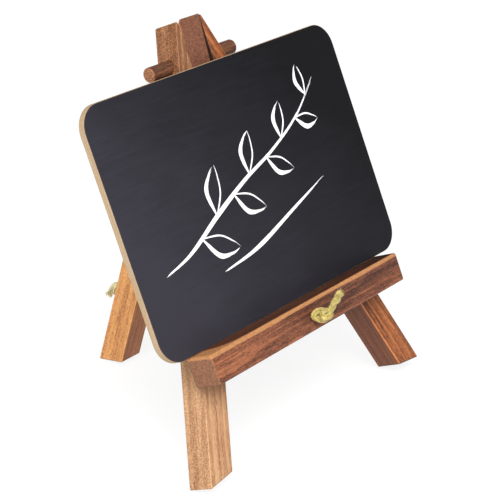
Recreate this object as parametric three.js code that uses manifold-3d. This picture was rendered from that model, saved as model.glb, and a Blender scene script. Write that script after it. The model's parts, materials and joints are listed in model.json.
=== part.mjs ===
// Small chalkboard standing on a folding wooden tripod easel. Lengths are millimetres, +Z is up.
// Every wooden piece is drawn in the plane of the two front legs: x runs across the easel, u runs up
// the leaning plane from the ledge's top face, and n stands off the legs' front faces towards the viewer.
import * as THREE from 'three';
import { mergeVertices } from 'three/addons/utils/BufferGeometryUtils.js';
import Module from 'manifold-3d';

const wasm = await Module();
wasm.setup();

// ---- Driving dimensions ----
const joinGap = 0.2; // left between two pieces that touch
const holeClearance = 0.1; // round pieces stand this far off their holes, all round
const roundSides = 48;
const cornerSegments = 12;
const arrisSegments = 4;
const cutterSides = 24;
const farOut = 60; // cutters reach this far, well past every piece
const mergeTolerance = 1e-4;

const board = { width: 150, height: 100, thickness: 3, cornerRadius: 10, offset: 1 };
const faceSheet = 0.3; // thickness of each writing face

const stock = 12; // the legs are all cut from square bar of this size
const frontLeg = {
  outerAtLedge: 51.46, // outer edge's distance from the centre line at u = 0
  splay: 0.37, // how far that edge moves in for each millimetre up
  top: 118.8,
  outerFoot: -48.7,
  innerFoot: -47.25,
  mitre: 6.4, // upright inner cut that lets the rear leg pass
};

const pivot = { u: 102.8, n: -stock / 2 };
const dowel = { radius: 3, halfLength: 25, chamfer: 0.5 };

const openAngle = THREE.MathUtils.degToRad(40.85); // between the rear leg and the front legs
const rearLeg = {
  headHigh: 17, // above the pivot, at the rear face
  headLow: -0.3, // at the front face: the head is one slanting cut
  frontFoot: -146.9,
  rearFoot: -152.85,
};

const ledge = { length: 121, height: 12, depth: 13, arris: 0.8 };

const cord = {
  radius: 1.5,
  hole: 2.1, // radius
  frontHole: -6.4, // in u, through the ledge
  rearHole: -118.2, // below the pivot, through the rear leg
  sag: 1.2,
  sagAt: [0.06, 0.25, 0.5, 0.75, 0.9], // shares of the free span
  sides: 8,
  fewestSteps: 4,
};
const knot = {
  across: 4.2, // radius
  thick: 3.4, // half its height off the wood
  gap: 0.3,
  facets: [20, 12],
  frontTail: [[2, -0.8, 0.3], [8, 0, 0.6], [13.5, 3.8, 0.4]],
  rearTail: [[-2, -0.5, -1], [-3.6, -0.9, -1.8], [-5, -1.2, -2.6]],
};

const screw = {
  shank: 1.3, // radius
  head: 2.6, // radius
  headHeight: 1.9,
  length: 20,
  point: 3,
  slot: 0.7,
  slotDepth: 0.8,
  turn: 0.6, // the slot's angle, mirrored from side to side
};

// The feet decide how far the easel leans: both front feet and the rear foot stand on one floor.
const rearSole = new THREE.Vector2(rearLeg.rearFoot, -stock / 2).rotateAround(new THREE.Vector2(), openAngle);
const soleRise = pivot.u + rearSole.x - frontLeg.outerFoot;
const soleRun = -stock - (pivot.n + rearSole.y);
const lean = Math.atan2(soleRise, soleRun);

// ---- Materials ----
const paint = (color, roughness, metalness = 0) =>
  new THREE.MeshStandardMaterial({ color, roughness, metalness });
const materials = {
  paleWood: paint(0xcf9a63, 0.6),
  darkWood: paint(0x8e5b3e, 0.6),
  dowelWood: paint(0x7d563c, 0.6),
  fibreboard: paint(0xd7be9b, 0.8),
  chalkSurface: paint(0x3d3d43, 0.75),
  cotton: paint(0xcdb860, 0.9),
  steel: paint(0xb9b9b5, 0.35, 1),
};

// ---- Solids ----
function toSolid(geometry) {
  geometry.deleteAttribute('normal');
  geometry.deleteAttribute('uv');
  const merged = mergeVertices(geometry, mergeTolerance);
  return new wasm.Manifold(
    new wasm.Mesh({
      numProp: 3,
      vertProperties: Float32Array.from(merged.attributes.position.array),
      triVerts: Uint32Array.from(merged.index.array),
    }),
  );
}

function toMesh(name, solid, material) {
  const { vertProperties, triVerts } = solid.getMesh();
  const geometry = new THREE.BufferGeometry();
  geometry.setAttribute('position', new THREE.BufferAttribute(vertProperties, 3));
  geometry.setIndex(new THREE.BufferAttribute(triVerts, 1));
  const flat = geometry.toNonIndexed();
  flat.computeVertexNormals();
  const mesh = new THREE.Mesh(flat, material);
  mesh.name = name;
  return mesh;
}

const outline = (points) => new THREE.Shape(points.map(([x, y]) => new THREE.Vector2(x, y)));

// A plate with its outline in x and u, reaching from nLow to nHigh.
function plate(shape, nLow, nHigh) {
  const geometry = new THREE.ExtrudeGeometry(shape, {
    depth: nHigh - nLow,
    bevelEnabled: false,
    curveSegments: cornerSegments,
  });
  return toSolid(geometry.translate(0, 0, nLow));
}

// A bar along x with its section drawn as points or a shape in -n and u.
function barAlongX(shape, length) {
  const geometry = new THREE.ExtrudeGeometry(shape, {
    depth: length,
    bevelEnabled: false,
    curveSegments: arrisSegments,
  });
  return toSolid(geometry.translate(0, 0, -length / 2).rotateY(Math.PI / 2));
}

// A round piece or a round cutter from [radius, height] points, standing on the y axis.
function turned(profile, sides = roundSides) {
  return new THREE.LatheGeometry(
    profile.map(([r, y]) => new THREE.Vector2(r, y)),
    sides,
  );
}

const rodAlongX = (radius, halfLength, chamfer = 0) =>
  turned([
    [0, -halfLength],
    [radius - chamfer, -halfLength],
    ...(chamfer ? [[radius, chamfer - halfLength], [radius, halfLength - chamfer]] : []),
    [radius - chamfer, halfLength],
    [0, halfLength],
  ]).rotateZ(-Math.PI / 2);

const cutterAlongN = (radius, x, u) =>
  toSolid(
    turned([[0, -farOut], [radius, -farOut], [radius, farOut], [0, farOut]], cutterSides)
      .rotateX(Math.PI / 2)
      .translate(x, u, 0),
  );

function roundedRectangle(width, height, radius) {
  const shape = new THREE.Shape();
  const right = width / 2 - radius;
  const top = height / 2 - radius;
  shape.absarc(right, top, radius, 0, Math.PI / 2);
  shape.absarc(-right, top, radius, Math.PI / 2, Math.PI);
  shape.absarc(-right, -top, radius, Math.PI, 1.5 * Math.PI);
  shape.absarc(right, -top, radius, 1.5 * Math.PI, 2 * Math.PI);
  return shape;
}

// ---- Frame: two front legs, ledge, dowel and the screws that hold the ledge ----
const legWidth = stock * Math.hypot(1, frontLeg.splay); // the bar's width measured level
const outerEdge = (u) => frontLeg.outerAtLedge - frontLeg.splay * u;
const innerEdge = (u) => outerEdge(u) - legWidth;
const screwU = -ledge.height / 2;
const screwX = outerEdge(screwU) - legWidth / 2;

function frontLegSolid(side) {
  const mitreStart = (frontLeg.outerAtLedge - legWidth - frontLeg.mitre) / frontLeg.splay;
  const points = [
    [innerEdge(frontLeg.innerFoot), frontLeg.innerFoot],
    [outerEdge(frontLeg.outerFoot), frontLeg.outerFoot],
    [outerEdge(frontLeg.top), frontLeg.top],
    [frontLeg.mitre, frontLeg.top],
    [frontLeg.mitre, mitreStart],
  ].map(([x, u]) => [side * x, u]);
  const dowelHole = toSolid(
    rodAlongX(dowel.radius + holeClearance, farOut).translate(0, pivot.u, pivot.n),
  );
  return plate(outline(points), -stock, 0).subtract(dowelHole).subtract(screwCutter(side));
}

function screwProfile(clearance) {
  return [
    [0, -clearance],
    [screw.head + clearance, -clearance],
    [screw.shank + clearance, screw.headHeight],
    [screw.shank + clearance, screw.length - screw.point],
    [0, screw.length + clearance],
  ];
}

// Screws point along +n, their heads level with the legs' rear faces.
const placeScrew = (geometry, side) => geometry.rotateX(Math.PI / 2).translate(side * screwX, screwU, -stock);
const screwCutter = (side) => toSolid(placeScrew(turned(screwProfile(joinGap), cutterSides), side));

function screwSolid(side) {
  const body = toSolid(placeScrew(turned(screwProfile(0), cutterSides), side));
  const slotCut = new THREE.BoxGeometry(3 * screw.head, screw.slot, 2 * screw.slotDepth);
  return body.subtract(toSolid(slotCut.rotateZ(screw.turn * side).translate(side * screwX, screwU, -stock)));
}

function ledgeSolid() {
  const section = roundedRectangle(ledge.depth, ledge.height, ledge.arris);
  let solid = barAlongX(section, ledge.length).translate([0, -ledge.height / 2, joinGap + ledge.depth / 2]);
  for (const side of [-1, 1]) solid = solid.subtract(screwCutter(side));
  return solid.subtract(cutterAlongN(cord.hole, 0, cord.frontHole));
}

// ---- Rear leg, drawn in its own frame: v runs up the leg from the pivot, w towards the front ----
function rearLegSolid() {
  const half = stock / 2;
  const section = outline([
    [half, rearLeg.headHigh],
    [-half, rearLeg.headLow],
    [-half, rearLeg.frontFoot],
    [half, rearLeg.rearFoot],
  ]);
  return barAlongX(section, stock)
    .subtract(toSolid(rodAlongX(dowel.radius + holeClearance, farOut)))
    .subtract(cutterAlongN(cord.hole, 0, cord.rearHole));
}

// ---- Board: fibreboard core with a writing face on each side ----
function boardLayer(nLow, thickness) {
  const shape = roundedRectangle(board.width, board.height, board.cornerRadius);
  return plate(shape, nLow, nLow + thickness).translate([board.offset, joinGap + board.height / 2, 0]);
}

// ---- Stay cord: one cord from the knot before the ledge to the knot behind the rear leg ----
function cordSolid(points) {
  const path = new THREE.CatmullRomCurve3(points);
  const section = new THREE.Shape().absarc(0, 0, cord.radius, 0, 2 * Math.PI);
  const steps = Math.max(cord.fewestSteps, Math.round(path.getLength() / (3 * cord.radius)));
  return toSolid(
    new THREE.ExtrudeGeometry(section, { steps, curveSegments: cord.sides, extrudePath: path }),
  );
}

// A knot is a flattened ball with the cord's loose end, whose points are measured from its centre.
function knotSolid(tail) {
  const [around, upward] = knot.facets;
  const ball = new THREE.SphereGeometry(knot.across, around, upward).scale(1, 1, knot.thick / knot.across);
  return toSolid(ball).add(cordSolid(tail.map((p) => new THREE.Vector3(...p))));
}

// The rear leg's frame seen from the front legs' frame.
const fromRearLeg = (v, w) =>
  new THREE.Vector3(0, v, w).applyAxisAngle(new THREE.Vector3(1, 0, 0), openAngle)
    .add(new THREE.Vector3(0, pivot.u, pivot.n));

// The cord leaves the ledge and the rear leg square to them and runs nearly straight between.
function stayRoute() {
  const ledgeFront = joinGap + ledge.depth;
  const start = new THREE.Vector3(0, cord.frontHole, 0);
  const end = fromRearLeg(cord.rearHole, stock / 2);
  const between = cord.sagAt.map((t) => {
    const sag = 4 * cord.sag * t * (1 - t);
    return new THREE.Vector3().lerpVectors(start, end, t).sub(new THREE.Vector3(0, sag, 0));
  });
  return [
    new THREE.Vector3(0, cord.frontHole, ledgeFront),
    new THREE.Vector3(0, cord.frontHole, ledgeFront / 2),
    start,
    ...between,
    end,
    fromRearLeg(cord.rearHole, 0),
    fromRearLeg(cord.rearHole, -stock / 2),
  ];
}

// ---- Assembly ----
const frontFrame = new THREE.Group();
frontFrame.rotation.x = Math.PI / 2 - lean;
const sides = { left: -1, right: 1 };
for (const [name, side] of Object.entries(sides)) {
  frontFrame.add(toMesh(`front_leg_${name}`, frontLegSolid(side), materials.paleWood));
  frontFrame.add(toMesh(`ledge_screw_${name}`, screwSolid(side), materials.steel));
}
frontFrame.add(toMesh('ledge', ledgeSolid(), materials.darkWood));

const dowelRod = toSolid(rodAlongX(dowel.radius, dowel.halfLength, dowel.chamfer));
const dowelMesh = toMesh('pivot_dowel', dowelRod, materials.dowelWood);
dowelMesh.position.set(0, pivot.u, pivot.n);
frontFrame.add(dowelMesh);

const sheetGap = joinGap / 2;
const coreThickness = board.thickness - 2 * (faceSheet + sheetGap);
const layers = {
  board_face_back: [joinGap, faceSheet, materials.chalkSurface],
  board_core: [joinGap + faceSheet + sheetGap, coreThickness, materials.fibreboard],
  board_face_front: [joinGap + board.thickness - faceSheet, faceSheet, materials.chalkSurface],
};
for (const [name, [nLow, thickness, material]] of Object.entries(layers)) {
  frontFrame.add(toMesh(name, boardLayer(nLow, thickness), material));
}

frontFrame.add(toMesh('stay_cord', cordSolid(stayRoute()), materials.cotton));
const frontKnot = toMesh('stay_knot_front', knotSolid(knot.frontTail), materials.cotton);
frontKnot.position.set(0, cord.frontHole, joinGap + ledge.depth + knot.gap + knot.thick);
frontFrame.add(frontKnot);

const rearFrame = new THREE.Group();
rearFrame.position.set(0, pivot.u, pivot.n);
rearFrame.rotation.x = openAngle;
rearFrame.add(toMesh('rear_leg', rearLegSolid(), materials.paleWood));
const rearKnot = toMesh('stay_knot_rear', knotSolid(knot.rearTail), materials.cotton);
rearKnot.position.set(0, cord.rearHole, -stock / 2 - knot.gap - knot.thick);
rearFrame.add(rearKnot);
frontFrame.add(rearFrame);

// The origin is on the floor, in the middle of the whole object's box.
const group = new THREE.Group();
group.add(frontFrame);
group.updateMatrixWorld(true);
const box = new THREE.Box3().setFromObject(group, true);
const middle = box.getCenter(new THREE.Vector3());
frontFrame.position.set(-middle.x, -middle.y, -box.min.z);

export default group;
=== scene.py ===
import json
import math
import random

import bmesh
import bpy
import numpy as np
from mathutils import Matrix, Vector


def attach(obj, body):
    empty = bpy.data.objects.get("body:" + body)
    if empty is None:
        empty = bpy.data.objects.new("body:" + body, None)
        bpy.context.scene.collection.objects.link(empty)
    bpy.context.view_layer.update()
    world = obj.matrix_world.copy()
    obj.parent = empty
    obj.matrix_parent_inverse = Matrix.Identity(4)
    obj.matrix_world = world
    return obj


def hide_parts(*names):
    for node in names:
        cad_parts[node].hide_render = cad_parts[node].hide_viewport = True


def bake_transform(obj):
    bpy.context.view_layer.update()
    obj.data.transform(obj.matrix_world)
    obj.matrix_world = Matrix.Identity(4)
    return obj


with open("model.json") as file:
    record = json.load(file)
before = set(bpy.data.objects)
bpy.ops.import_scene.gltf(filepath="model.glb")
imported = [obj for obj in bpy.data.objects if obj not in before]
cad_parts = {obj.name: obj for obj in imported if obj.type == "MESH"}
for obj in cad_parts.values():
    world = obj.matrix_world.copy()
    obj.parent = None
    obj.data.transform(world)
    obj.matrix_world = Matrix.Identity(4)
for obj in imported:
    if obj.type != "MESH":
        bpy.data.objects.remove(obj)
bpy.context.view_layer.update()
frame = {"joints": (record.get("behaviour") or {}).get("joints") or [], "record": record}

# ---------------------------------------------------------------------------------------------
# Sizes. Shapes are drawn in millimetres in the plane of the two front legs: x runs across the
# easel, u up the leaning plane from the ledge's top face, n off the legs' front faces.
# ---------------------------------------------------------------------------------------------
MM = 0.001
STOCK = 12.0  # the legs are square bar
JOIN_GAP = 0.2

PIVOT_U = 102.8
PIVOT_N = -STOCK / 2
OPEN_ANGLE = math.radians(40.85)

LEG_OUTER_AT_LEDGE = 51.46
LEG_SPLAY = 0.37
LEG_TOP = 118.8
LEG_OUTER_FOOT = -48.7
LEG_INNER_FOOT = -47.25
LEG_MITRE = 6.4

HEAD_HIGH = 17.0
HEAD_LOW = -0.3
REAR_FRONT_FOOT = -146.9
REAR_REAR_FOOT = -152.85

LEDGE_LENGTH = 121.0
LEDGE_HEIGHT = 12.0
LEDGE_DEPTH = 13.0

DOWEL_RADIUS = 3.0
DOWEL_HALF = 25.0
HOLE_CLEARANCE = 0.1

BOARD_WIDTH = 150.0
BOARD_HEIGHT = 100.0
BOARD_THICK = 3.0
BOARD_CORNER = 10.0
BOARD_OFFSET = 1.0
PAINT_THICK = 0.05

CORD_RADIUS = 1.5
CORD_HOLE = 1.75
CORD_SAG = 1.2
CORD_FRONT_U = -6.4
CORD_REAR_V = -118.2  # v runs up the rear leg from the pivot
CORD_INSET = 3.0  # the span ends this deep under the knots

SCREW_HEAD = 2.6
SCREW_DEPTH = 1.9
SCREW_SHANK = 1.3
SCREW_LENGTH = 8.0
SLOT_WIDTH = 0.7
SLOT_DEPTH = 0.8
SLOT_TURN = 0.6
SINK_CLEARANCE = 0.25

# ---------------------------------------------------------------------------------------------
# Frames of reference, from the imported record
# ---------------------------------------------------------------------------------------------
record = frame["record"]
face_normal = next(m["axis"] for m in record["mounts"] if m["name"] == "display_face")
pivot_point = next(j["pos_m"] for j in frame["joints"] if j["name"] == "rear_leg_fold")

ACROSS = Vector((1, 0, 0))
OFF = Vector(face_normal).normalized()
UP = OFF.cross(ACROSS)


def metres(matrix):
    """The matrix with its translation turned from millimetres into metres."""
    result = matrix.copy()
    result.translation = matrix.translation * MM
    return result


def axes(x, y, z, origin=(0, 0, 0)):
    result = Matrix((x, y, z)).transposed().to_4x4()
    result.translation = origin
    return result


PLANE = axes(ACROSS, UP, OFF, Vector(pivot_point) - (UP * PIVOT_U + OFF * PIVOT_N) * MM)
TO_REAR = Matrix.Translation((0, PIVOT_U, PIVOT_N)) @ Matrix.Rotation(OPEN_ANGLE, 4, "X")
PLANE_X, PLANE_U, PLANE_N = Vector((1, 0, 0)), Vector((0, 1, 0)), Vector((0, 0, 1))


def in_world(x, u, n):
    return PLANE @ (Vector((x, u, n)) * MM)


# ---------------------------------------------------------------------------------------------
# Camera
# ---------------------------------------------------------------------------------------------
CAMERA_TARGET = in_world(-8.82, 25.92, 0)
CAMERA_HEADING = math.radians(50.869)  # the way the camera looks, from +Y towards +X
CAMERA_DOWN = math.radians(22.244)
CAMERA_ROLL = math.radians(-1.543)
CAMERA_DISTANCE = 0.65846
CAMERA_LENS = 121.18


def make_camera():
    data = bpy.data.cameras.new("camera")
    data.lens = CAMERA_LENS
    data.clip_start = 0.01
    camera = bpy.data.objects.new("camera", data)
    level = math.cos(CAMERA_DOWN)
    forward = Vector((math.sin(CAMERA_HEADING) * level, math.cos(CAMERA_HEADING) * level,
                      -math.sin(CAMERA_DOWN)))
    turn = forward.to_track_quat("-Z", "Y").to_matrix().to_4x4() @ Matrix.Rotation(CAMERA_ROLL, 4, "Z")
    camera.matrix_world = Matrix.Translation(CAMERA_TARGET - forward * CAMERA_DISTANCE) @ turn
    bpy.context.scene.collection.objects.link(camera)
    bpy.context.scene.camera = camera


make_camera()


# ---------------------------------------------------------------------------------------------
# Node materials
# ---------------------------------------------------------------------------------------------
class Graph:
    """A short way to write a node tree."""

    def __init__(self, name):
        self.material = bpy.data.materials.new(name)
        self.material.use_nodes = True
        self.tree = self.material.node_tree
        self.tree.nodes.clear()

    def put(self, socket, value):
        if isinstance(value, bpy.types.NodeSocket):
            self.tree.links.new(value, socket)
        else:
            socket.default_value = value

    def node(self, kind, settings=None, **inputs):
        made = self.tree.nodes.new("ShaderNode" + kind)
        for key, value in (settings or {}).items():
            setattr(made, key, value)
        for key, value in inputs.items():
            self.put(made.inputs[key.replace("_", " ")], value)
        return made

    def math(self, operation, a, b=0.0, c=0.0):
        made = self.node("Math", {"operation": operation})
        for socket, value in zip(made.inputs, (a, b, c)):
            self.put(socket, value)
        return made.outputs[0]

    def vector(self, operation, a, b=None, scale=None):
        made = self.node("VectorMath", {"operation": operation})
        self.put(made.inputs[0], a)
        if b is not None:
            self.put(made.inputs[1], b)
        if scale is not None:
            self.put(made.inputs["Scale"], scale)
        single = operation in ("LENGTH", "DOT_PRODUCT")
        return made.outputs["Value" if single else "Vector"]

    def noise(self, at, scale=1.0, detail=3.0, roughness=0.5, output="Fac"):
        made = self.node("TexNoise", Vector=at, Scale=scale, Detail=detail, Roughness=roughness)
        return made.outputs[output]

    def cells(self, at, scale=1.0):
        return self.node("TexVoronoi", Vector=at, Scale=scale).outputs["Distance"]

    def between(self, value, low, high, to_low=0.0, to_high=1.0):
        made = self.node("MapRange", {"interpolation_type": "SMOOTHSTEP"})
        for socket, number in zip(made.inputs, (value, low, high, to_low, to_high)):
            self.put(socket, number)
        return made.outputs[0]

    def mix(self, factor, a, b, blend="MIX"):
        made = self.node("Mix", {"data_type": "RGBA", "blend_type": blend})
        self.put(made.inputs[0], factor)
        self.put(made.inputs[6], a)
        self.put(made.inputs[7], b)
        return made.outputs[2]

    def ramp(self, value, *stops):
        made = self.node("ValToRGB", Fac=value)
        elements = made.color_ramp.elements
        while len(elements) < len(stops):
            elements.new(0.5)
        for element, (position, colour) in zip(elements, stops):
            element.position = position
            element.color = colour
        return made.outputs[0]

    def bump(self, height, distance):
        return self.node("Bump", Height=height, Distance=distance, Strength=1.0).outputs[0]

    def finish(self, **inputs):
        shader = self.node("BsdfPrincipled")
        for key, value in inputs.items():
            self.put(shader.inputs[key.replace("_", " ")], value)
        output = self.node("OutputMaterial")
        self.tree.links.new(shader.outputs[0], output.inputs[0])
        return self.material


def linear(red, green, blue):
    """A colour given in display values from 0 to 255."""
    parts = [v / 255 for v in (red, green, blue)]
    return [p / 12.92 if p < 0.04045 else ((p + 0.055) / 1.055) ** 2.4 for p in parts] + [1.0]


def scaled(colour, factor):
    """The colour made lighter or darker."""
    return [min(1.0, c * factor) for c in colour[:3]] + [1.0]


def wood(name, light, middle, dark, end, pith, ring, stripes, wear_and_highlight, seed, mottle=1.0, pores=0.5, fleck=0.0,
         half=(STOCK / 2, STOCK / 2), band=None, side_tint_and_shade=None, drift=None, end_rings=0.0):
    """Oiled hardwood. The grain runs along the piece's own z axis. pith is where the rings' centre lies in
    its x and y, ring the rings' spacing, half the bar's half width and depth, in millimetres. stripes is
    the share of long streaks, mottle of short ones, pores of dark pores, wear_and_highlight of rubbed
    corners that are also painted lighter as a highlight along the rounded edges, end_rings of rings on the
    cut ends. fleck is the share of ray figure across the grain on the x faces. band is a stripe of another
    colour along the +x side: its colour, depth, slant and the z over which the slant comes in.
    side_tint_and_shade is an axis, the share of each colour that stays on the faces that look along it, and
    how far their figure fades; it gives a darker side of the wood, and painted shade on faces in shadow.
    drift is the z over which the wood darkens and its ray figure deepens, and how much."""
    g = Graph(name)
    coordinates = g.node("TexCoord")
    point = g.vector("SCALE", coordinates.outputs["Object"], scale=1 / MM)
    place = g.node("SeparateXYZ", Vector=point)
    facing = g.node("SeparateXYZ", Vector=coordinates.outputs["Normal"])
    on_end = g.between(g.math("ABSOLUTE", facing.outputs["Z"]), 0.15, 0.35)
    shifted = g.vector("ADD", point, (seed, 2.3 * seed, 7.1 * seed))

    def grain(across, along, detail=4, roughness=0.62):
        stretched = g.vector("MULTIPLY", shifted, (across, across, along))
        return g.noise(stretched, detail=detail, roughness=roughness)

    # Growth rings round the pith, wavering a little along the bar
    warp = g.noise(g.vector("MULTIPLY", shifted, (0.11, 0.11, 0.018)), detail=3, output="Color")
    warp = g.vector("SUBTRACT", warp, (0.5, 0.5, 0.5))
    bent = g.vector("ADD", point, g.vector("SCALE", warp, scale=6.0))
    flat = g.vector("MULTIPLY", g.vector("SUBTRACT", bent, (*pith, 0.0)), (1, 1, 0.012))
    phase = g.math("FRACT", g.math("DIVIDE", g.vector("LENGTH", flat), ring))
    rings = g.math("MULTIPLY", g.between(phase, 0.1, 0.86), g.between(phase, 0.88, 1.0, 1.0, 0.0))

    # Streaks and fibres along the grain
    streak = grain(0.75, 0.016)
    fibre = grain(3.2, 0.13, 5)
    short = grain(2.4, 0.62, 5, 0.7)
    shares = ((rings, 0.18), (streak, stripes), (fibre, 0.7), (short, mottle), (grain(0.14, 0.03, 2), 0.5))
    tone = 0.5
    for pattern, share in shares:
        tone = g.math("ADD", g.math("MULTIPLY", g.math("SUBTRACT", pattern, 0.5), share), tone)
    drifted = 0.0
    if drift:
        low, high, amount = drift
        drifted = g.math("MULTIPLY", g.between(place.outputs["Z"], low, high), amount)
        tone = g.math("ADD", tone, drifted)
    colour = g.ramp(tone, (0.22, light), (0.5, middle), (0.8, dark))

    holes = g.cells(g.vector("MULTIPLY", shifted, (2.4, 2.4, 0.3)))
    pore = g.math("MULTIPLY", g.between(holes, 0.12, 0.32, 1.0, 0.0), g.between(streak, 0.38, 0.58))
    colour = g.mix(g.math("MULTIPLY", pore, pores), colour, scaled(dark, 0.4))

    # Faces that look along the axis are darkened: the wood's own darker side on the right leg, painted
    # shade on the rear leg's front face and the ledge's top face.
    if side_tint_and_shade:
        axis, left, plain = side_tint_and_shade
        share = g.between(facing.outputs[axis], 0.75, 0.95)
        even = g.mix(plain, colour, middle)
        colour = g.mix(share, colour, g.mix(1.0, even, (*left, 1.0), "MULTIPLY"))

    if fleck:
        rays = grain(1.2, 2.6, 4, 0.7)
        depth = g.math("MULTIPLY_ADD", drifted, 1.5, fleck)
        radial = g.math("MULTIPLY", g.between(g.math("ABSOLUTE", facing.outputs["X"]), 0.6, 0.8), depth)
        drift_share = g.math("MULTIPLY", drifted, 3.0)
        orange = [middle[0] * 0.95, middle[1] * 0.58, middle[2] * 0.32, 1.0]
        shine = g.mix(drift_share, scaled(light, 1.35), orange)
        shade = g.mix(drift_share, dark, scaled(dark, 0.3))
        colour = g.mix(g.math("MULTIPLY", g.between(rays, 0.5, 0.66), radial), colour, shine)
        colour = g.mix(g.math("MULTIPLY", g.between(rays, 0.36, 0.5, 1.0, 0.0), radial), colour, shade)

    # Rubbed corners, where the distances in from both sides add up to little: paler worn wood, and a
    # painted highlight along the rounded edges
    from_x = g.math("SUBTRACT", half[0], g.math("ABSOLUTE", place.outputs["X"]))
    from_y = g.math("SUBTRACT", half[1], g.math("ABSOLUTE", place.outputs["Y"]))
    inward = g.math("ADD", g.math("MAXIMUM", from_x, 0), g.math("MAXIMUM", from_y, 0))
    patchy = g.between(grain(0.3, 0.25, 3), 0.3, 0.6)
    wear_and_highlight_share = g.math("MULTIPLY", g.math("MULTIPLY", g.between(inward, 0.2, 0.6, 1, 0), patchy), wear_and_highlight)
    wear_and_highlight_share = g.math("MULTIPLY", wear_and_highlight_share, g.math("SUBTRACT", 1.0, on_end))
    colour = g.mix(wear_and_highlight_share, colour, scaled(light, 1.3))

    # Cut ends
    speck = g.between(g.cells(g.vector("MULTIPLY", shifted, (3.0, 3.0, 0.8))), 0.12, 0.3, 1.0, 0.0)
    cut = g.math("MULTIPLY_ADD", rings, end_rings, grain(1.5, 0.5, 5, 0.7))
    cut = g.ramp(cut, (0.4, scaled(end, 1.4)), (0.5, end), (0.66, scaled(end, 0.5)))
    cut = g.mix(g.math("MULTIPLY", speck, 0.7), cut, scaled(end, 2.0))
    colour = g.mix(on_end, colour, cut)

    if band:
        tint, depth, slant, (low, high) = band
        where = g.node("SeparateXYZ", Vector=g.vector("ADD", point, g.vector("SCALE", warp, scale=1.6)))
        lean = g.between(place.outputs["Z"], low, high, 0.0, slant)
        across = g.math("MULTIPLY_ADD", g.math("SUBTRACT", where.outputs["Y"], half[1]), lean,
                        where.outputs["X"])
        share = g.between(across, half[0] - depth - 0.35, half[0] - depth + 0.35)
        colour = g.mix(share, colour, g.mix(g.between(short, 0.35, 0.7), tint, scaled(tint, 0.6)))

    rough = g.math("MULTIPLY_ADD", fibre, 0.28, 0.4)
    height = g.math("MULTIPLY_ADD", pore, -0.9, g.math("MULTIPLY", g.math("ADD", fibre, short), 0.45))
    return g.finish(Base_Color=colour, Roughness=rough, Specular_IOR_Level=0.35,
                    Normal=g.bump(height, 0.00014))


def fibreboard():
    """Raw fibreboard, darker in a thin strip just inside each painted face."""
    g = Graph("raw_fibreboard")
    point = g.vector("SCALE", g.node("TexCoord").outputs["Object"], scale=1 / MM)
    fluff = g.noise(g.vector("MULTIPLY", point, (2.2, 2.2, 4.5)), detail=5, roughness=0.7)
    layer = g.noise(g.vector("MULTIPLY", point, (0.05, 0.05, 2.4)), detail=2)
    tone = g.math("ADD", g.math("MULTIPLY", fluff, 0.6), g.math("MULTIPLY", layer, 0.4))
    colour = g.ramp(tone, (0.3, linear(150, 122, 90)), (0.5, linear(172, 148, 117)),
                    (0.72, linear(190, 169, 141)))
    dots = g.between(g.cells(g.vector("MULTIPLY", point, (1.9, 1.9, 3.0))), 0.08, 0.2, 1, 0)
    colour = g.mix(g.math("MULTIPLY", dots, 0.35), colour, linear(140, 100, 66))
    height = g.node("SeparateXYZ", Vector=point).outputs["Z"]
    # The fibreboard turns darker within 0.2 mm of each face, over the chamfers.
    from_middle = g.math("ABSOLUTE", g.math("SUBTRACT", height, BOARD_THICK / 2))
    edge_darkening = g.between(from_middle, BOARD_THICK / 2 - 0.2, BOARD_THICK / 2 - 0.05)
    colour = g.mix(g.math("MULTIPLY", edge_darkening, 0.8), colour, linear(84, 60, 44))
    return g.finish(Base_Color=colour, Roughness=0.85, Normal=g.bump(fluff, 0.00012))


def chalk_paint():
    """Matt black paint under a patchy haze of wiped chalk, with painted light that fades from the lower
    left towards the top right.
    """
    g = Graph("chalk_paint")
    point = g.vector("SCALE", g.node("TexCoord").outputs["Object"], scale=1 / MM)
    cloud = g.noise(g.vector("MULTIPLY", point, (0.03, 0.045, 0.03)), detail=4, roughness=0.6)
    wipe = g.noise(g.vector("MULTIPLY", point, (0.05, 0.6, 0.3)), detail=4, roughness=0.6)
    # Painted light: the paint is made lighter towards the lower left and darker towards the top right, as a
    # falloff of light across the board.
    light_falloff = g.vector("DOT_PRODUCT", point, (-1 / BOARD_WIDTH, -0.5 / BOARD_HEIGHT, 0))
    chalk_haze_and_light = g.math("ADD", g.math("MULTIPLY", g.math("ADD", cloud, wipe), 0.35), g.math("ADD", light_falloff, 0.15))
    colour = g.ramp(chalk_haze_and_light, (0.0, linear(10, 10, 14)), (0.5, linear(30, 29, 35)), (1.0, linear(48, 46, 54)))
    grit = g.noise(point, scale=2.6, detail=4, roughness=0.7)
    speck = g.between(g.cells(point, scale=1.1), 0.05, 0.12, 1, 0)
    colour = g.mix(g.math("MULTIPLY", speck, 0.12), colour, linear(90, 90, 95))
    rough = g.math("MULTIPLY_ADD", cloud, 0.14, 0.5)
    return g.finish(Base_Color=colour, Roughness=rough, Specular_IOR_Level=0.16,
                    Normal=g.bump(grit, 0.0001))


def paint_pen():
    """White paint that dried slightly uneven."""
    g = Graph("white_paint_pen")
    point = g.vector("SCALE", g.node("TexCoord").outputs["Object"], scale=1 / MM)
    dry = g.noise(point, scale=1.1, detail=4, roughness=0.65)
    colour = g.ramp(dry, (0.3, linear(226, 227, 232)), (0.6, linear(252, 252, 252)))
    return g.finish(Base_Color=colour, Roughness=0.55, Normal=g.bump(dry, 0.00004))


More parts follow.
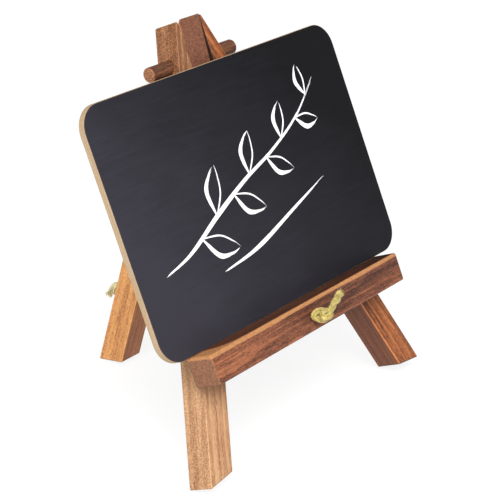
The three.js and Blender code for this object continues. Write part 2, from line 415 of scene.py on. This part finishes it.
def cotton(name, light, middle, dark):
    """Soft spun cord. The strands' own shape carries the twist, and the bump carries the fibres."""
    g = Graph(name)
    coordinates = g.node("UVMap", {"uv_map": "strand"}).outputs[0]
    point = g.vector("SCALE", g.node("TexCoord").outputs["Object"], scale=1 / MM)
    fibres = g.noise(g.vector("MULTIPLY", coordinates, (14, 1.1, 1)), detail=4, roughness=0.65)
    cloud = g.noise(point, scale=0.45, detail=3)
    tone = g.math("ADD", g.math("MULTIPLY", fibres, 0.65), g.math("MULTIPLY", cloud, 0.35))
    colour = g.ramp(tone, (0.34, dark), (0.5, middle), (0.66, light))
    return g.finish(Base_Color=colour, Roughness=0.92, Sheen_Weight=0.25, Sheen_Roughness=0.5,
                    Normal=g.bump(fibres, 0.00018))


def zinc():
    """Plated steel with fine scratches."""
    g = Graph("zinc_plate")
    point = g.vector("SCALE", g.node("TexCoord").outputs["Object"], scale=1 / MM)
    scratch = g.noise(g.vector("MULTIPLY", point, (3, 12, 3)), detail=4, roughness=0.7)
    colour = g.ramp(scratch, (0.3, (0.42, 0.42, 0.4, 1)), (0.7, (0.66, 0.66, 0.63, 1)))
    rough = g.math("MULTIPLY_ADD", scratch, 0.3, 0.2)
    return g.finish(Base_Color=colour, Roughness=rough, Metallic=1.0, Normal=g.bump(scratch, 0.00003))


# ---------------------------------------------------------------------------------------------
# Shapes
# ---------------------------------------------------------------------------------------------
ARRIS = 0.55  # the rounding of a leg's edges
LEDGE_ARRIS = 0.8
DOWEL_ARRIS = 0.7
ROUND_SIDES = 48


def prism(points, low, high, spread):
    """A bar from an outline and its two ends. spread turns an outline point and a height into a place."""
    bm = bmesh.new()
    bottom = [bm.verts.new(spread(p, q, low)) for p, q in points]
    top = [bm.verts.new(spread(p, q, high)) for p, q in points]
    bm.faces.new(bottom)
    bm.faces.new(top)
    for i in range(len(points)):
        j = (i + 1) % len(points)
        bm.faces.new((bottom[i], bottom[j], top[j], top[i]))
    bmesh.ops.recalc_face_normals(bm, faces=bm.faces)
    return bm


def ease(bm, radius=ARRIS, segments=3):
    """Rounds every edge."""
    bmesh.ops.bevel(bm, geom=bm.edges[:], offset=radius, segments=segments, profile=0.5,
                    affect="EDGES", clamp_overlap=True)
    return bm


def turned(profile, sides=ROUND_SIDES):
    """A closed round solid about the z axis from (radius, height) points that start and end on it."""
    bm = bmesh.new()
    rings = []
    for radius, height in profile:
        if radius == 0:
            rings.append([bm.verts.new((0, 0, height))])
        else:
            turns = [2 * math.pi * i / sides for i in range(sides)]
            places = [(radius * math.cos(t), radius * math.sin(t), height) for t in turns]
            rings.append([bm.verts.new(place) for place in places])
    for lower, upper in zip(rings, rings[1:]):
        for i in range(sides):
            j = (i + 1) % sides
            corners = [ring[k % len(ring)] for ring, k in ((lower, i), (lower, j), (upper, j), (upper, i))]
            bm.faces.new(list(dict.fromkeys(corners)))
    bmesh.ops.recalc_face_normals(bm, faces=bm.faces)
    return bm


def drill(radius, half_length, flare=0.45):
    """A cutter along z whose ends widen where they leave a bar that is 2 * half_length thick."""
    reach = half_length + 5
    if not flare:
        return turned([(0, -reach), (radius, -reach), (radius, reach), (0, reach)])
    wide = radius + flare
    return turned([(0, -reach), (wide, -reach), (wide, -half_length), (radius, flare - half_length),
                   (radius, half_length - flare), (wide, half_length), (wide, reach), (0, reach)])


def mesh_of(bm):
    mesh = bpy.data.meshes.new("shape")
    bm.to_mesh(mesh)
    bm.free()
    return mesh


def carve(mesh, *cutters):
    """The mesh with the cutters taken out of it."""
    scene = bpy.context.scene.collection
    body = bpy.data.objects.new("body", mesh)
    scene.objects.link(body)
    tools = []
    for cutter in cutters:
        tool = bpy.data.objects.new("tool", mesh_of(cutter))
        scene.objects.link(tool)
        change = body.modifiers.new("cut", "BOOLEAN")
        change.operation = "DIFFERENCE"
        change.solver = "EXACT"
        change.object = tool
        tools.append(tool)
    depsgraph = bpy.context.evaluated_depsgraph_get()
    result = bpy.data.meshes.new_from_object(body.evaluated_get(depsgraph))
    for extra in (body, *tools):
        bpy.data.objects.remove(extra)
    return result


def add_piece(name, mesh, material, body, replaced=(), place=Matrix.Identity(4), sharp=32):
    """Puts a mesh that is drawn in millimetres in its own axes into the scene. place takes those axes
    to the front legs' plane."""
    mesh.transform(Matrix.Scale(MM, 4))
    mesh.name = name
    mesh.materials.clear()
    mesh.materials.append(material)
    mesh.polygons.foreach_set("use_smooth", [True] * len(mesh.polygons))
    mesh.set_sharp_from_angle(angle=math.radians(sharp))
    piece = bpy.data.objects.new(name, mesh)
    bpy.context.scene.collection.objects.link(piece)
    piece.matrix_world = PLANE @ metres(place)
    weighted = piece.modifiers.new("even_normals", "WEIGHTED_NORMAL")
    weighted.keep_sharp = True
    if body:
        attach(piece, body)
    if replaced:
        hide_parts(*replaced)
    return piece


# ---------------------------------------------------------------------------------------------
# Easel
# ---------------------------------------------------------------------------------------------
LEG_WIDTH = STOCK * math.hypot(1, LEG_SPLAY)


def leg_outer(u):
    return LEG_OUTER_AT_LEDGE - LEG_SPLAY * u


def leg_inner(u):
    return leg_outer(u) - LEG_WIDTH


SCREW_U = -LEDGE_HEIGHT / 2
SCREW_X = leg_outer(SCREW_U) - LEG_WIDTH / 2


def bar_axes(along, depth, origin):
    """A bar's own axes: z along the grain, y through its depth."""
    return axes(depth.cross(along), depth, along, origin)


def screw_place(side):
    """The screw's axes: z out of the back of the leg, its head's top at z = 0."""
    return axes(PLANE_X, -PLANE_U, -PLANE_N, Vector((side * SCREW_X, SCREW_U, -STOCK)))


def front_leg(side):
    mitre_start = (LEG_OUTER_AT_LEDGE - LEG_WIDTH - LEG_MITRE) / LEG_SPLAY
    outline = [
        (leg_inner(LEG_INNER_FOOT), LEG_INNER_FOOT),
        (leg_outer(LEG_OUTER_FOOT), LEG_OUTER_FOOT),
        (leg_outer(LEG_TOP), LEG_TOP),
        (LEG_MITRE, LEG_TOP),
        (LEG_MITRE, mitre_start),
    ]
    bm = ease(prism(outline, -STOCK, 0, lambda x, u, n: (side * x, u, n)))
    along = Vector((-side * LEG_SPLAY, 1, 0)).normalized()
    middle = Vector((side * (LEG_OUTER_AT_LEDGE - LEG_WIDTH / 2), 0, -STOCK / 2))
    bar = bar_axes(along, PLANE_N, middle)
    dowel_hole = drill(DOWEL_RADIUS + HOLE_CLEARANCE, DOWEL_HALF, 0)
    dowel_hole.transform(axes(PLANE_U, PLANE_N, PLANE_X, Vector((0, PIVOT_U, PIVOT_N))))
    wide, deep = SCREW_HEAD + SINK_CLEARANCE, SCREW_LENGTH + 2
    sink = turned([(0, 1), (wide, 1), (wide, 0), (SCREW_SHANK, -SCREW_DEPTH), (SCREW_SHANK, -deep),
                   (0, -deep)])
    sink.transform(screw_place(side))
    mesh = carve(mesh_of(bm), dowel_hole, sink)
    mesh.transform(bar.inverted())
    return mesh, bar


def rear_leg():
    half = STOCK / 2
    outline = [(half, REAR_REAR_FOOT), (-half, REAR_FRONT_FOOT), (-half, HEAD_LOW), (half, HEAD_HIGH)]
    # The outline's first number is the depth towards the back, so w = -p.
    bm = ease(prism(outline, -half, half, lambda p, v, x: (x, v, -p)))
    dowel_hole = drill(DOWEL_RADIUS + HOLE_CLEARANCE, half, 0)
    dowel_hole.transform(axes(PLANE_U, PLANE_N, PLANE_X))
    cord_hole = drill(CORD_HOLE, half)
    cord_hole.transform(Matrix.Translation((0, CORD_REAR_V, 0)))
    mesh = carve(mesh_of(bm), dowel_hole, cord_hole)
    bar = bar_axes(PLANE_U, PLANE_N, Vector((0, 0, 0)))
    mesh.transform(bar.inverted())
    return mesh, TO_REAR @ bar


def ledge_bar():
    half_u, half_n = LEDGE_HEIGHT / 2, LEDGE_DEPTH / 2
    outline = [(-half_u, -half_n), (half_u, -half_n), (half_u, half_n), (-half_u, half_n)]
    bar = prism(outline, -LEDGE_LENGTH / 2, LEDGE_LENGTH / 2, lambda p, q, r: (p, q, r))
    bm = ease(bar, LEDGE_ARRIS, 4)
    cord_hole = drill(CORD_HOLE, half_n, 0)
    cord_hole.transform(Matrix.Rotation(math.pi / 2, 4, "X"))
    cord_hole.transform(Matrix.Translation((CORD_FRONT_U + half_u, 0, 0)))
    mesh = carve(mesh_of(bm), cord_hole)
    middle = Vector((0, -half_u, JOIN_GAP + half_n))
    return mesh, axes(PLANE_U, PLANE_N, PLANE_X, middle)


def dowel():
    r, h = DOWEL_RADIUS, DOWEL_HALF
    soft = DOWEL_ARRIS
    turn = [math.pi / 2 * i / 5 for i in range(6)]
    end = [(r - soft + soft * math.sin(t), h - soft + soft * math.cos(t)) for t in turn]
    profile = [(0, -h)] + [(a, -b) for a, b in end] + end[::-1] + [(0, h)]
    return mesh_of(turned(profile, 72)), axes(PLANE_U, PLANE_N, PLANE_X, Vector((0, PIVOT_U, PIVOT_N)))


def screw(side):
    """A slotted countersunk screw that stops in the ledge."""
    tip = SCREW_SHANK - 0.3
    profile = [(0, -SCREW_LENGTH), (tip, -SCREW_LENGTH), (SCREW_SHANK, 1 - SCREW_LENGTH),
               (SCREW_SHANK, -SCREW_DEPTH - 0.2), (SCREW_HEAD - 0.12, -0.2), (SCREW_HEAD, -0.1),
               (SCREW_HEAD - 0.1, 0), (0, 0.02)]
    slot = bmesh.new()
    bmesh.ops.create_cube(slot, size=1)
    slot.transform(Matrix.Rotation(SLOT_TURN * side, 4, "Z")
                   @ Matrix.Diagonal((8, SLOT_WIDTH, 2 * SLOT_DEPTH, 1)))
    return carve(mesh_of(turned(profile)), slot), screw_place(side)


def make_easel():
    looks = {
        -1: wood("left_leg_wood", linear(198, 158, 117), linear(175, 130, 93), linear(120, 77, 49),
                 end=linear(140, 98, 64), pith=(38, 22), ring=3.4, stripes=0.27, mottle=0.8, pores=0.3,
                 fleck=0.5, wear_and_highlight=0.1, seed=11.0, drift=(66, 100, 0.28)),
        1: wood("right_leg_wood", linear(176, 108, 60), linear(138, 77, 40), linear(74, 37, 22),
                # The end colour is near black as painted shade: the mitre face, which lies in the shadowed
                # notch beside the rear leg's head, takes it, and so does the foot.
                end=linear(46, 29, 21), pith=(-19, 36), ring=2.8, stripes=1.6, mottle=1.0, wear_and_highlight=1.0,
                # The inner face, which looks along +x, is the wood's own darker side.
                seed=23.0, side_tint_and_shade=("X", (0.5, 0.5, 0.62), 0.6)),
    }
    for name, side in (("left", -1), ("right", 1)):
        mesh, place = front_leg(side)
        add_piece(f"front_leg_{name}_bar", mesh, looks[side], "easel",
                  [f"front_leg_{name}"], place)
    rear = wood("rear_leg_wood", linear(232, 172, 102), linear(208, 142, 82), linear(150, 88, 50),
                end=linear(112, 70, 50), pith=(-30, 14), ring=3.0, stripes=0.4, mottle=1.0, pores=0.25,
                # Its front face is darker: painted shade, standing in for the shadow the board casts on it.
                fleck=0.35, wear_and_highlight=0.5, seed=37.0, side_tint_and_shade=("Y", (0.46, 0.34, 0.3), 0.0))
    mesh, place = rear_leg()
    add_piece("rear_leg_bar", mesh, rear, "rear_leg", ["rear_leg"], place)
    brown = wood("ledge_wood", linear(166, 102, 68), linear(123, 72, 48), linear(66, 36, 26),
                 end=linear(124, 82, 56), pith=(-14, 30), ring=2.2, stripes=1.0, mottle=1.1, pores=0.6,
                 wear_and_highlight=0.1, half=(LEDGE_HEIGHT / 2, LEDGE_DEPTH / 2), seed=5.0,
                 # Its top face is darker: partly the wood's own colour, partly painted shade from the board
                 # that stands on it.
                 side_tint_and_shade=("X", (0.4, 0.35, 0.3), 0.0), drift=(-55, 20, 0.14),
                 band=(linear(190, 132, 84), 1.5, 1.4, (-58, -30)))
    mesh, place = ledge_bar()
    add_piece("ledge_bar", mesh, brown, "easel", ["ledge"], place)
    pin = wood("dowel_wood", linear(134, 86, 58), linear(98, 61, 42), linear(62, 37, 26),
               end=linear(172, 114, 78), pith=(0.4, 0.3), ring=0.8, stripes=1.1, wear_and_highlight=0.0, half=(9, 9),
               seed=51.0, end_rings=0.6)
    mesh, place = dowel()
    add_piece("pivot_dowel_rod", mesh, pin, "easel", ["pivot_dowel"], place)
    plate = zinc()
    for name, side in (("left", -1), ("right", 1)):
        mesh, place = screw(side)
        add_piece(f"ledge_screw_{name}_head", mesh, plate, "easel",
                  [f"ledge_screw_{name}"], place)


# ---------------------------------------------------------------------------------------------
# Board
# ---------------------------------------------------------------------------------------------
BOARD_CHAMFER = 0.22
PAINT_CHAMFER = 0.06


def rounded(width, height, radius, steps=16):
    """A rectangle's outline with round corners."""
    points = []
    for quarter, (sx, sy) in enumerate(((1, 1), (-1, 1), (-1, -1), (1, -1))):
        for i in range(steps + 1):
            t = (quarter + i / steps) * math.pi / 2
            points.append((sx * (width / 2 - radius) + radius * math.cos(t),
                           sy * (height / 2 - radius) + radius * math.sin(t)))
    return points


def stacked(layers):
    """A closed solid from (inset, height) layers of the board's outline."""
    bm = bmesh.new()
    loops = []
    for inset, height in layers:
        outline = rounded(BOARD_WIDTH - 2 * inset, BOARD_HEIGHT - 2 * inset, BOARD_CORNER - inset)
        loops.append([bm.verts.new((x, u, height)) for x, u in outline])
    for lower, upper in zip(loops, loops[1:]):
        for i in range(len(lower)):
            j = (i + 1) % len(lower)
            bm.faces.new((lower[i], lower[j], upper[j], upper[i]))
    bm.faces.new(loops[0][::-1])
    bm.faces.new(loops[-1])
    bmesh.ops.recalc_face_normals(bm, faces=bm.faces)
    return mesh_of(bm)


def make_board():
    place = Matrix.Translation((BOARD_OFFSET, JOIN_GAP + BOARD_HEIGHT / 2, JOIN_GAP))
    c, t = BOARD_CHAMFER, BOARD_THICK
    core = stacked([(c, 0), (0, c), (0, t - c), (c, t)])
    add_piece("board_panel", core, fibreboard(), "board", ["board_core"], place, sharp=20)
    black = chalk_paint()
    for side, base, sign in (("front", t, 1), ("back", 0, -1)):
        skin = stacked([(c, base), (c, base + sign * PAINT_THICK / 2),
                        (c + PAINT_CHAMFER, base + sign * PAINT_THICK)])
        add_piece(f"board_{side}_paint", skin, black, "board", [f"board_face_{side}"],
                  place, sharp=50)


# ---------------------------------------------------------------------------------------------
# Drawing on the board: a plain leafy sprig in white paint pen
# ---------------------------------------------------------------------------------------------
def curve_through(points, step):
    """Evenly spaced points on a Catmull-Rom curve."""
    p = np.array(points, float)
    p = np.vstack([2 * p[0] - p[1], p, 2 * p[-1] - p[-2]])
    fine = []
    for a, b, c, d in zip(p, p[1:], p[2:], p[3:]):
        for t in np.linspace(0, 1, 40, endpoint=False):
            fine.append(0.5 * (2 * b + (c - a) * t + (2 * a - 5 * b + 4 * c - d) * t ** 2
                               + (3 * b - a - 3 * c + d) * t ** 3))
    fine.append(p[-2])
    fine = np.array(fine)
    run = np.concatenate([[0], np.cumsum(np.linalg.norm(np.diff(fine, axis=0), axis=1))])
    count = max(2, int(round(run[-1] / step)) + 1)
    wanted = np.linspace(0, run[-1], count)
    return np.column_stack([np.interp(wanted, run, fine[:, k]) for k in range(p.shape[1])])


BRISTLES = 5
STROKE_HEIGHT = 0.09
STROKE_STEP = 0.5
DRAWING_SINK = 0.01


def brush(bm, points, widths, dice):
    """One pen stroke: narrow raised strips side by side, whose starts and ends differ a little."""
    line = curve_through(points, STROKE_STEP)
    run = np.linspace(0, 1, len(line))
    wide = np.interp(run, np.linspace(0, 1, len(widths)), widths)
    tangent = np.gradient(line, axis=0)
    tangent /= np.linalg.norm(tangent, axis=1)[:, None]
    side = np.column_stack([-tangent[:, 1], tangent[:, 0]])
    for k in range(BRISTLES):
        first = int(dice.uniform(0, 0.03) * len(line))
        last = len(line) - int(dice.uniform(0, 0.2) * len(line))
        if last - first < 3:
            continue
        middle = (k + 0.5) / BRISTLES - 0.5
        spread = 0.62 / BRISTLES
        top = STROKE_HEIGHT * dice.uniform(0.7, 1.0)
        rows = []
        for i in range(first, last):
            taper = min(1, (i - first + 0.4) / 3, (last - i - 0.6) / 3)
            left = line[i] + side[i] * wide[i] * (middle + spread * taper)
            right = line[i] + side[i] * wide[i] * (middle - spread * taper)
            rows.append([bm.verts.new((*left, 0)), bm.verts.new((*left, top)),
                         bm.verts.new((*right, top)), bm.verts.new((*right, 0))])
        for a, b in zip(rows, rows[1:]):
            for m in range(4):
                bm.faces.new((a[m], a[(m + 1) % 4], b[(m + 1) % 4], b[m]))
        bm.faces.new(rows[0][::-1])
        bm.faces.new(rows[-1])


SPRIG_STEM = [(-60, -19), (-44, -15), (-24, -6), (-4, 2), (18, 9), (38, 18), (56, 31)]
SPRIG_UNDERLINE = [(-30, -27), (-8, -24), (20, -16), (44, -9)]
SPRIG_LEAVES = 8


def leaf(bm, foot, heading, length, side, dice):
    """A leaf as two strokes from its foot to its tip, one thin and one pressed."""
    ahead = Vector((math.cos(heading), math.sin(heading)))
    across = Vector((-ahead.y, ahead.x))
    tip = foot + ahead * length
    for belly, widths in ((0.24 * side, (0.5, 1.7, 2.0, 1.0, 0.3)), (-0.13 * side, (0.4, 0.7, 0.6, 0.3))):
        bend = foot + ahead * length * 0.45 + across * length * belly
        late = foot + ahead * length * 0.8 + across * length * belly * 0.6
        brush(bm, [foot, bend, late, tip], widths, dice)


def make_drawing():
    dice = random.Random(7)
    bm = bmesh.new()
    brush(bm, SPRIG_STEM, (0.5, 1.5, 1.9, 1.4, 1.1, 0.9, 0.5), dice)
    brush(bm, SPRIG_UNDERLINE, (0.5, 1.7, 1.2, 0.3), dice)
    line = curve_through(SPRIG_STEM, STROKE_STEP)
    for i in range(SPRIG_LEAVES):
        at = int((0.2 + 0.72 * i / (SPRIG_LEAVES - 1)) * (len(line) - 2))
        foot = Vector(line[at])
        ahead = Vector(line[at + 1]) - foot
        side = 1 if i % 2 else -1
        heading = math.atan2(ahead.y, ahead.x) + side * math.radians(dice.uniform(42, 56))
        leaf(bm, foot, heading, 21 - 1.1 * i, side, dice)
    bmesh.ops.recalc_face_normals(bm, faces=bm.faces)
    place = Matrix.Translation((BOARD_OFFSET, JOIN_GAP + BOARD_HEIGHT / 2,
                                JOIN_GAP + BOARD_THICK + PAINT_THICK - DRAWING_SINK))
    add_piece("board_drawing", mesh_of(bm), paint_pen(), "board", (), place, sharp=40)


# ---------------------------------------------------------------------------------------------
# Stay cord and its knots
# ---------------------------------------------------------------------------------------------
STRANDS = 3
STRAND_RADIUS = 0.76
STRAND_OFFSET = 0.74
STRAND_PITCH = 9.5
STRAND_SIDES = 14
STRAND_RIDGES = 5
RIDGE_DEPTH = 0.045
RIDGE_PITCH = 2.6
CORD_STEP = 0.4
FRAY_FIBRES = 110


def carried_axes(line):
    """Two directions square to the line that don't spin along it."""
    tangent = np.gradient(line, axis=0)
    tangent /= np.linalg.norm(tangent, axis=1)[:, None]
    helper = np.array([1.0, 0, 0]) if abs(tangent[0][0]) < 0.9 else np.array([0, 1.0, 0])
    first = np.cross(tangent[0], helper)
    firsts = [first / np.linalg.norm(first)]
    for t in tangent[1:]:
        v = firsts[-1] - t * np.dot(firsts[-1], t)
        firsts.append(v / np.linalg.norm(v))
    firsts = np.array(firsts)
    return tangent, firsts, np.cross(tangent, firsts)


def twisted(points, pitch=STRAND_PITCH, squeeze=1.0, swell=0.0):
    """Three strands laid round the line, as a mesh with a UV map of turns round and millimetres along.
    squeeze is the thickness, and swell how much thicker and fuller the last centimetre gets."""
    line = curve_through(points, CORD_STEP)
    tangent, first, second = carried_axes(line)
    run = np.arange(len(line)) * CORD_STEP
    full = 1 + swell * np.interp(run, (run[-1] - 10, run[-1] - 3), (0, 1))
    bm = bmesh.new()
    layer = bm.loops.layers.uv.new("strand")
    for strand in range(STRANDS):
        rings = []
        for i, centre in enumerate(line):
            twist = 2 * math.pi * (run[i] / pitch + strand / STRANDS)
            out = math.cos(twist) * first[i] + math.sin(twist) * second[i]
            sideways = np.cross(tangent[i], out)
            middle = centre + out * STRAND_OFFSET * squeeze
            ring = []
            for k in range(STRAND_SIDES):
                a = 2 * math.pi * k / STRAND_SIDES
                ridge = 1 + RIDGE_DEPTH * math.cos(STRAND_RIDGES * a + 2 * math.pi * run[i] / RIDGE_PITCH)
                radius = STRAND_RADIUS * squeeze * full[i] * ridge
                ring.append(bm.verts.new(middle + radius * (math.cos(a) * out + math.sin(a) * sideways)))
            rings.append(ring)
        for i, (a, b) in enumerate(zip(rings, rings[1:])):
            for k in range(STRAND_SIDES):
                j = (k + 1) % STRAND_SIDES
                face = bm.faces.new((a[k], a[j], b[j], b[k]))
                corners = ((k, i), (k + 1, i), (k + 1, i + 1), (k, i + 1))
                for loop, (turn, step) in zip(face.loops, corners):
                    loop[layer].uv = (turn / STRAND_SIDES + 0.3 * step * CORD_STEP, step * CORD_STEP)
        bm.faces.new(rings[0][::-1])
        bm.faces.new(rings[-1])
    bmesh.ops.recalc_face_normals(bm, faces=bm.faces)
    return bm


def add_fibre(bm, start, heading, length, radius, dice):
    """One stray fibre: a thin tapering thread that bends a little."""
    heading = heading.normalized()
    bend = Vector([dice.uniform(-1, 1) for _ in range(3)]) * 0.35
    side = heading.orthogonal().normalized()
    other = heading.cross(side)
    rings = []
    for i in range(5):
        t = i / 4
        middle = start + (heading + bend * t) * length * t
        r = radius * (1 - 0.75 * t)
        rings.append([bm.verts.new(middle + side * r * math.cos(a) + other * r * math.sin(a))
                      for a in (0, 2 * math.pi / 3, 4 * math.pi / 3)])
    for a, b in zip(rings, rings[1:]):
        for k in range(3):
            bm.faces.new((a[k], a[(k + 1) % 3], b[(k + 1) % 3], b[k]))
    bm.faces.new(rings[0][::-1])
    bm.faces.new(rings[-1])


def fray(bm, points, dice):
    """Fibres that fan out of the cord's cut end, and a few along its last four fifths."""
    line = curve_through(points, CORD_STEP)
    end = Vector(line[-1])
    ahead = (end - Vector(line[-4])).normalized()
    side = ahead.orthogonal().normalized()
    other = ahead.cross(side)
    for _ in range(FRAY_FIBRES):
        a, r = dice.uniform(0, 2 * math.pi), CORD_RADIUS * 0.9 * math.sqrt(dice.random())
        out = side * math.cos(a) + other * math.sin(a)
        start = end + out * r - ahead * dice.uniform(0.2, 0.8)
        add_fibre(bm, start, ahead + out * dice.uniform(0.0, 0.55), dice.uniform(0.9, 2.0), 0.10, dice)
    for _ in range(FRAY_FIBRES // 3):
        at = dice.randrange(len(line) // 5, len(line))
        along = Vector(line[at] - line[at - 1]).normalized()
        out = along.orthogonal().normalized()
        out.rotate(Matrix.Rotation(dice.uniform(0, 2 * math.pi), 3, along))
        start = Vector(line[at]) + out * CORD_RADIUS * 0.85
        add_fibre(bm, start, out + along * dice.uniform(-1, 1), dice.uniform(0.4, 1.0), 0.05, dice)


LEDGE_FRONT = JOIN_GAP + LEDGE_DEPTH


def rear_point(x, v, w):
    """A place on the rear leg, from the pivot, in the front legs' plane."""
    return tuple(TO_REAR @ Vector((x, v, w)))


def stay_route():
    """The route that the CAD solid follows, from inside the ledge to inside the rear leg."""
    start = Vector((0, CORD_FRONT_U, 0))
    end = Vector(rear_point(0, CORD_REAR_V, STOCK / 2))
    middle = []
    for t in (0.06, 0.25, 0.5, 0.75, 0.9):
        sag = Vector((0, 4 * CORD_SAG * t * (1 - t), 0))
        middle.append(tuple(start.lerp(end, t) - sag))
    return [(0, CORD_FRONT_U, LEDGE_FRONT - CORD_INSET), (0, CORD_FRONT_U, LEDGE_FRONT / 2), tuple(start),
            *middle, tuple(end), rear_point(0, CORD_REAR_V, 0),
            rear_point(0, CORD_REAR_V, CORD_INSET - STOCK / 2)]


# An overhand knot: out of the hole, round to the left, over itself, behind, and out to the right.
# x and u from the hole's centre, n from the face that the knot bears on.
FRONT_KNOT = [(0, 0, -3.2), (0, 0, -1), (0, 0, 1.2), (2.5, -0.1, 2.0), (2.6, 1.0, 3.0), (-0.9, 1.5, 2.9),
              (-2.9, 0.6, 2.6), (-2.3, -1.0, 3.2), (0.6, -2.3, 4.6), (2.9, -1.5, 5.4), (1.6, 0.5, 5.8),
              (-1.5, 0.4, 6.0), (-2.3, -1.0, 6.6), (0, -0.9, 7.4), (3.4, 0.8, 6.8), (7.7, 2.1, 5.8),
              (13.5, 3.8, 4.6)]
REAR_KNOT = [(0, 0, -3.2), (0, 0, -1), (-0.6, 0.3, 1.2), (-2.4, 0.9, 2.2), (-1.6, 1.7, 3.4),
             (0.8, 1.2, 3.6), (2.4, -0.2, 3.0), (1.2, -1.6, 2.2), (-1.2, -1.8, 2.0), (-2.4, -0.4, 3.4),
             (-0.8, 0.2, 5.0), (1.6, -0.3, 4.8), (3.6, -0.8, 4.0), (5.0, -1.0, 3.2)]
KNOT_PITCH = 16.0


def make_cord():
    yarn = cotton("cotton_cord", linear(218, 200, 134), linear(174, 154, 74), linear(98, 84, 32))
    # The rear knot gets a lighter copy of the cord's cotton: painted light, for a knot that sits in shade
    # on the back of the rear leg.
    painted_light_yarn = cotton("cotton_cord_painted_light", linear(250, 244, 214), linear(224, 212, 160), linear(120, 104, 50))
    span = add_piece("stay_cord_twist", mesh_of(twisted(stay_route())), yarn, None,
                     ["stay_cord"], sharp=60)
    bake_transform(span)
    dice = random.Random(3)
    front = axes(PLANE_X, PLANE_U, PLANE_N, Vector((0, CORD_FRONT_U, LEDGE_FRONT)))
    rear = TO_REAR @ axes(-PLANE_X, PLANE_U, -PLANE_N, Vector((0, CORD_REAR_V, -STOCK / 2)))
    knots = (("front", "easel", FRONT_KNOT, front, yarn, 0.92, 0.4),
             ("rear", "rear_leg", REAR_KNOT, rear, painted_light_yarn, 0.84, 0.1))
    for name, body, points, place, look, squeeze, swell in knots:
        bm = twisted(points, KNOT_PITCH, squeeze, swell)
        fray(bm, points, dice)
        add_piece(f"stay_knot_{name}_tied", mesh_of(bm), look, body, [f"stay_knot_{name}"],
                  place, sharp=60)


make_easel()
make_board()
make_drawing()
make_cord()

# ---------------------------------------------------------------------------------------------
# Floor and light
# ---------------------------------------------------------------------------------------------
FLOOR_SIZE = 8.0
FLOOR_TONE = 0.15
FLOOR_GLOW = 0.87
WORLD_GLOW = 0.25
LIGHTS_AIM = Vector((0, 0, 0.07))


def make_floor():
    """White paper that glows, so that shadows on it stay faint."""
    mesh = bpy.data.meshes.new("floor")
    h = FLOOR_SIZE / 2
    mesh.from_pydata([(-h, -h, 0), (h, -h, 0), (h, h, 0), (-h, h, 0)], [], [(0, 1, 2, 3)])
    g = Graph("floor_paper")
    mesh.materials.append(g.finish(Base_Color=(FLOOR_TONE, FLOOR_TONE, FLOOR_TONE, 1), Roughness=0.9,
                                   Emission_Color=(1, 1, 1, 1), Emission_Strength=FLOOR_GLOW))
    floor = bpy.data.objects.new("floor", mesh)
    bpy.context.scene.collection.objects.link(floor)


def add_light(name, place, size, power):
    data = bpy.data.lights.new(name, "AREA")
    data.shape = "DISK"
    data.size = size
    data.energy = power
    light = bpy.data.objects.new(name, data)
    turn = (LIGHTS_AIM - Vector(place)).to_track_quat("-Z", "Y").to_matrix().to_4x4()
    light.matrix_world = Matrix.Translation(place) @ turn
    bpy.context.scene.collection.objects.link(light)


def make_lights():
    world = bpy.data.worlds.new("studio")
    world.use_nodes = True
    sky = world.node_tree.nodes["Background"]
    sky.inputs["Color"].default_value = (1, 1, 1, 1)
    sky.inputs["Strength"].default_value = WORLD_GLOW
    bpy.context.scene.world = world
    add_light("key", (-1.11, -1.11, 1.88), 1.7, 80)
    add_light("side", (-0.55, -0.22, 0.2), 0.35, 0.95)
    add_light("fill", (0.9, -1.0, 1.3), 1.2, 3)


make_floor()
make_lights()
bpy.context.scene.view_settings.view_transform = "Standard"
